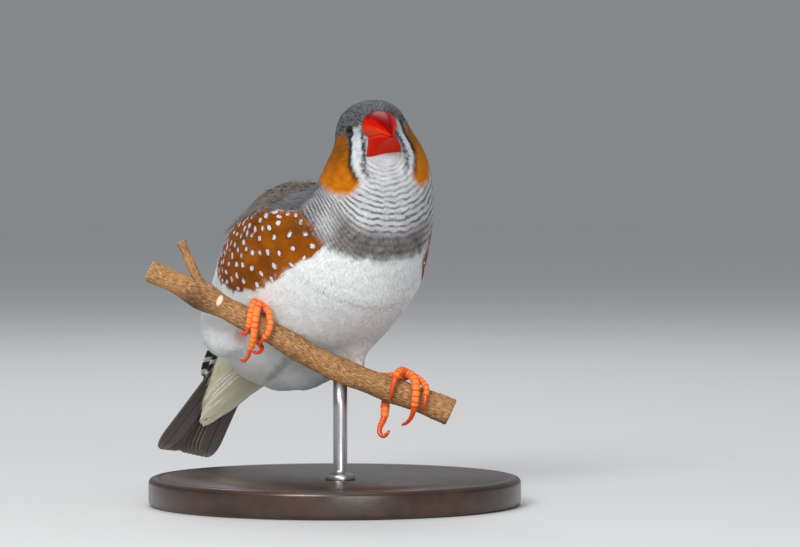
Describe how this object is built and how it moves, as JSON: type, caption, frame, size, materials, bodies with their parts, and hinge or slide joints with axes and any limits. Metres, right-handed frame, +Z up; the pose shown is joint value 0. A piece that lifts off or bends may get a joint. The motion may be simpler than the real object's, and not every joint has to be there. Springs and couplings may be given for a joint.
{
  "type": "zebra finch",
  "caption": "Life-size male zebra finch with a red bill and spotted flanks, perched on a cut length of branch over a flat round display base.",
  "frame": {"origin": "middle of the round base's underside, on the floor", "axes": "+Z up; -Y the way the bird's body faces; +X its left side"},
  "size_m": [0.0801, 0.1033, 0.0868],
  "materials": {
    "plumage_body": "soft, matt body feathers: grey crown and back, white belly, marked face, throat and flanks",
    "wing": "matt grey-brown flight feathers with pale edges",
    "tail": "matt black-brown tail feathers",
    "coverts": "cream feathers under the tail, black-and-white barred ones over it",
    "bill": "waxy horn, deep red above and orange-red below",
    "eye": "wet, dark red-brown iris round a black pupil",
    "leg": "orange skin with small scales",
    "claw": "semi-clear orange horn, darker at the tips",
    "bark": "thin brown bark with pale pores and a cream leaf scar",
    "base_wood": "dark stained wood, satin varnish",
    "rod_steel": "brushed"
  },
  "bodies": {
    "root": {"torso": "plumage_body", "neck": "plumage_body", "head": "plumage_body", "thigh_right": "plumage_body", "thigh_left": "plumage_body", "wing_right": "wing", "wing_left": "wing", "tail": "tail", "tail_coverts_under": "coverts", "tail_coverts_upper": "coverts", "bill_upper": "bill", "bill_lower": "bill", "eye_right": "eye", "eye_left": "eye", "shank_right": "leg", "shank_left": "leg", "foot_right": "leg", "foot_left": "leg", "claw_right_inner": "claw", "claw_right_middle": "claw", "claw_right_outer": "claw", "claw_right_hind": "claw", "claw_left_inner": "claw", "claw_left_middle": "claw", "claw_left_outer": "claw", "claw_left_hind": "claw", "perch": "bark", "stand_base": "base_wood", "stand_rod": "rod_steel"}
  },
  "joints": []
}
